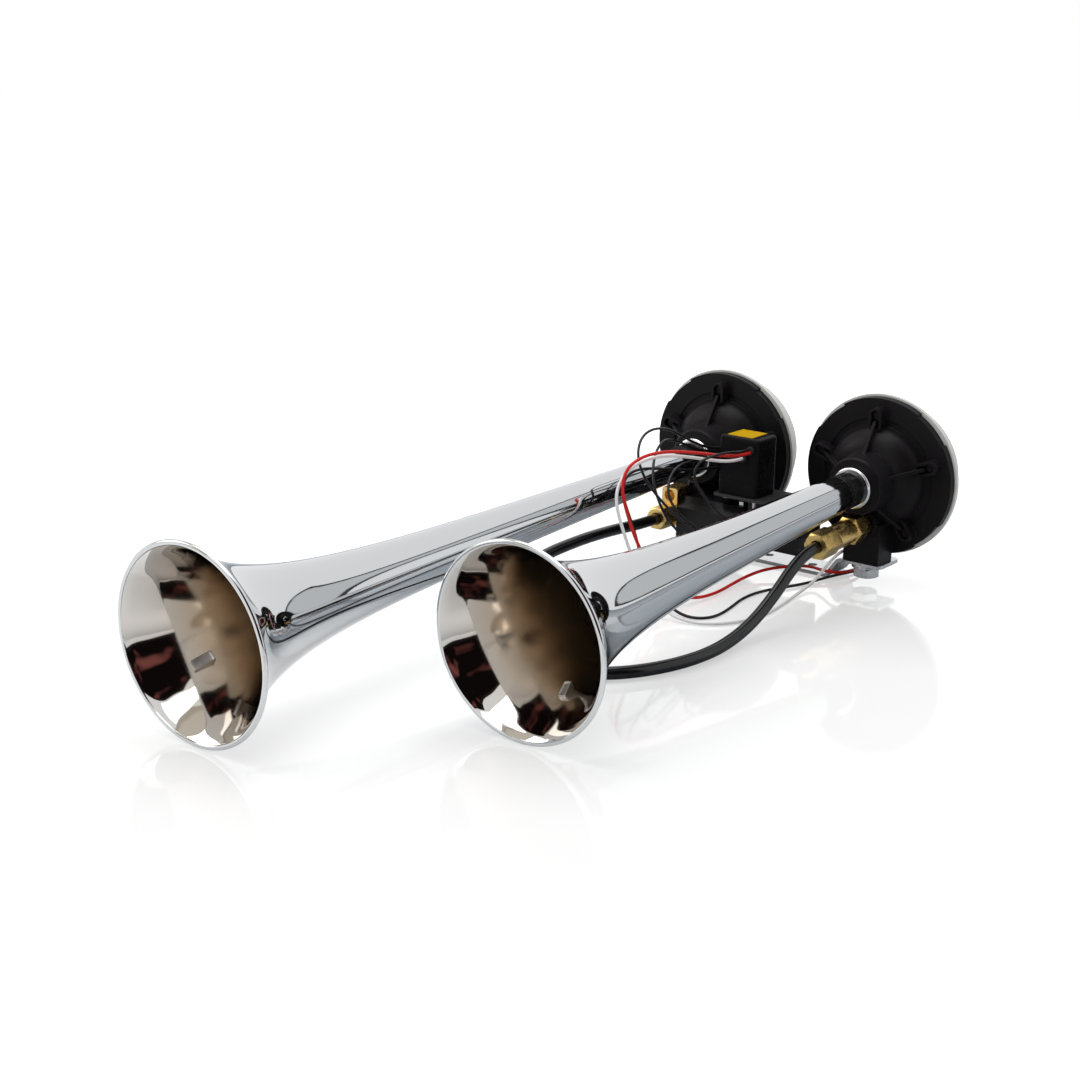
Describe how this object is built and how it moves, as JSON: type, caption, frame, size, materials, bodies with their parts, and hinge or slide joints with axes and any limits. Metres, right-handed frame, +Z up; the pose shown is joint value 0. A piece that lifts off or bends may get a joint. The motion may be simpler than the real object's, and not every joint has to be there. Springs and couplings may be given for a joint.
{
  "type": "car air horn",
  "caption": "Twin trumpet car air horn: chrome flared bells of unequal length, black diaphragm housings on one steel bracket, solenoid valve, brass fittings, hose and wiring.",
  "frame": {"origin": "on the floor, below the middle of the horn set without its hose and wires", "axes": "+X to the right when looking from the bells to the housings, +Y from the bell mouths to the diaphragm housings, +Z up"},
  "size_m": [0.2424, 0.5426, 0.1318],
  "materials": {
    "chrome_plate": "polished",
    "black_casting": "satin",
    "black_plastic": "satin",
    "cover_paint": "satin",
    "plate_paint": "satin",
    "zinc_plate": "satin",
    "spring_steel": "satin",
    "brass": "machined",
    "black_rubber": "matte",
    "yellow_label": "gloss",
    "board_green": "matte",
    "hose_black": "gloss",
    "red_insulation": "gloss",
    "white_insulation": "gloss",
    "black_insulation": "gloss"
  },
  "bodies": {
    "horn_set": {"air_hose": "hose_black", "base_screws": "zinc_plate", "black_wire": "black_insulation", "circuit_board": "board_green", "coil_plug": "black_plastic", "controller_base": "black_plastic", "controller_case": "black_plastic", "controller_label": "yellow_label", "core_tube": "spring_steel", "fixed_core": "spring_steel", "horn_nipple": "brass", "inlet_ferrule": "brass", "inlet_nipple": "brass", "inlet_nut": "brass", "inlet_union": "brass", "long_cover_screws": "black_casting", "long_diaphragm": "spring_steel", "long_foot_bolt": "zinc_plate", "long_gasket": "black_rubber", "long_housing": "black_casting", "long_neck_nut": "black_plastic", "long_neck_ring": "chrome_plate", "long_rear_cover": "cover_paint", "long_trumpet": "chrome_plate", "mounting_bracket": "zinc_plate", "mounting_plate": "plate_paint", "outlet_ferrule": "brass", "outlet_nut": "brass", "passage_plugs": "zinc_plate", "plate_screws": "zinc_plate", "plunger_spring": "spring_steel", "port_block": "brass", "red_wire": "red_insulation", "short_cover_screws": "black_casting", "short_diaphragm": "spring_steel", "short_foot_bolt": "zinc_plate", "short_gasket": "black_rubber", "short_housing": "black_casting", "short_neck_nut": "black_plastic", "short_neck_ring": "chrome_plate", "short_rear_cover": "cover_paint", "short_trumpet": "chrome_plate", "solenoid_coil": "black_plastic", "solenoid_wire_1": "black_insulation", "solenoid_wire_2": "black_insulation", "solenoid_wire_3": "black_insulation", "solenoid_wire_4": "black_insulation", "valve_body": "black_casting", "white_wire": "white_insulation", "wire_grommets": "black_rubber"},
    "plunger_body": {"plunger": "spring_steel", "plunger_seal": "black_rubber"}
  },
  "joints": [
    {"name": "plunger_slide", "type": "slide", "parent": "horn_set", "child": "plunger_body", "axis": [1, 0, 0], "range_m": [0, 0.0015], "stiffness_N_per_m": 400, "springref_m": -0.005, "deforming": ["plunger_spring"]}
  ]
}
